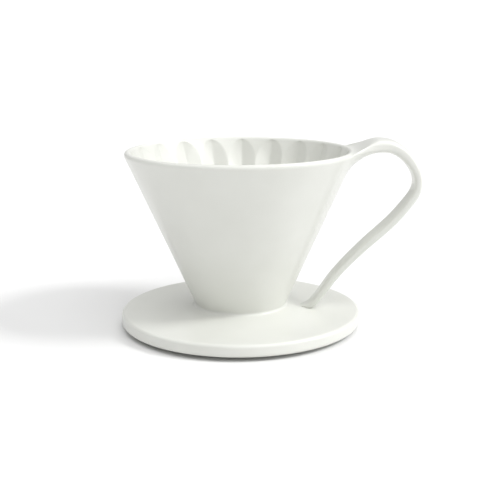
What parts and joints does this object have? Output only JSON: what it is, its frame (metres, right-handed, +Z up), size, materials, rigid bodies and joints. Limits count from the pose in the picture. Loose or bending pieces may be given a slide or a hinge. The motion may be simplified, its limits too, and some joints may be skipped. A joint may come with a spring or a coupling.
{
  "type": "pour over dripper",
  "caption": "White glazed porcelain cone dripper with a petal-fluted inside, a round saucer base with a locating ring, and a thin strap handle looping from rim to saucer.",
  "frame": {"origin": "on the cone's axis, in the plane of the table that the locating ring stands on", "axes": "+Z up along the cone's axis, +X from the axis towards the handle, +Y away from the side that faces the viewer"},
  "size_m": [0.1443, 0.116, 0.0908],
  "materials": {
    "glaze": "smooth white porcelain glaze with a soft satin gloss",
    "bare_clay": "bare fired porcelain, matt, wiped free of glaze where it stood in the kiln"
  },
  "bodies": {
    "root": {"cone_wall": "glaze", "petal_ribs": "glaze", "rim_lip": "glaze", "outlet_neck": "glaze", "cone_seam": "glaze", "saucer": "glaze", "locating_ring": "bare_clay", "handle_wing": "glaze", "handle_strap": "glaze", "handle_foot": "glaze"}
  },
  "joints": []
}
